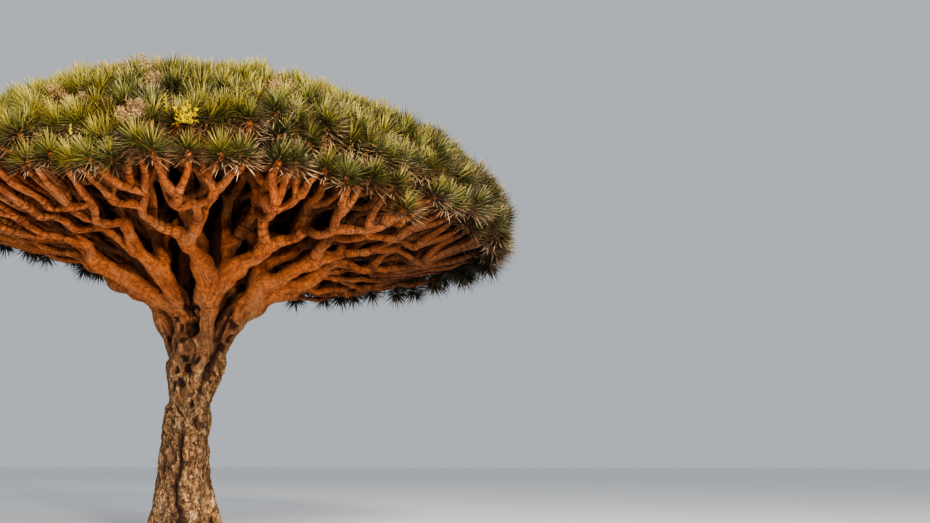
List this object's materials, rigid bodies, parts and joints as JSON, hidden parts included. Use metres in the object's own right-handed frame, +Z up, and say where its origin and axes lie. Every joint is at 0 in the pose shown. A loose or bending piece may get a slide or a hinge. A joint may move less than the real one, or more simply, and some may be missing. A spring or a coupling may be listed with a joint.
{
  "type": "dragon blood tree",
  "caption": "Umbrella-shaped tree with a stout leaning trunk, upswept forking limbs and a wide, flat dome of stiff sword-leaved rosettes",
  "frame": {"origin": "centre of the flat cut under the trunk, at ground level", "axes": "+Z is up; the side seen in the picture faces -Y and its right-hand side is +X"},
  "size_m": [10.3568, 10.3926, 7.0924],
  "materials": {
    "trunk_bark": "rough, flaking grey-brown and tan bark with dark scars",
    "limb_bark": "smooth, matt orange-brown bark with ring creases and swollen forks",
    "foliage": "stiff, satin, yellow-green to dark green blades over old brown ones"
  },
  "bodies": {
    "root": {"trunk": "trunk_bark", "bough_1a": "limb_bark", "bough_1b": "limb_bark", "bough_1c": "limb_bark", "bough_1d": "limb_bark", "bough_2a": "limb_bark", "bough_2b": "limb_bark", "bough_2c": "limb_bark", "bough_2d": "limb_bark", "bough_3a": "limb_bark", "bough_3b": "limb_bark", "bough_3c": "limb_bark", "bough_3d": "limb_bark", "bough_4a": "limb_bark", "bough_4b": "limb_bark", "bough_4c": "limb_bark", "bough_4d": "limb_bark", "bough_5a": "limb_bark", "bough_5b": "limb_bark", "bough_5c": "limb_bark", "bough_5d": "limb_bark", "bough_6a": "limb_bark", "bough_6b": "limb_bark", "bough_6c": "limb_bark", "bough_6d": "limb_bark", "foliage_1a": "foliage", "foliage_1b": "foliage", "foliage_1c": "foliage", "foliage_1d": "foliage", "foliage_2a": "foliage", "foliage_2b": "foliage", "foliage_2c": "foliage", "foliage_2d": "foliage", "foliage_3a": "foliage", "foliage_3b": "foliage", "foliage_3c": "foliage", "foliage_3d": "foliage", "foliage_4a": "foliage", "foliage_4b": "foliage", "foliage_4c": "foliage", "foliage_4d": "foliage", "foliage_5a": "foliage", "foliage_5b": "foliage", "foliage_5c": "foliage", "foliage_5d": "foliage", "foliage_6a": "foliage", "foliage_6b": "foliage", "foliage_6c": "foliage", "foliage_6d": "foliage"}
  },
  "joints": []
}
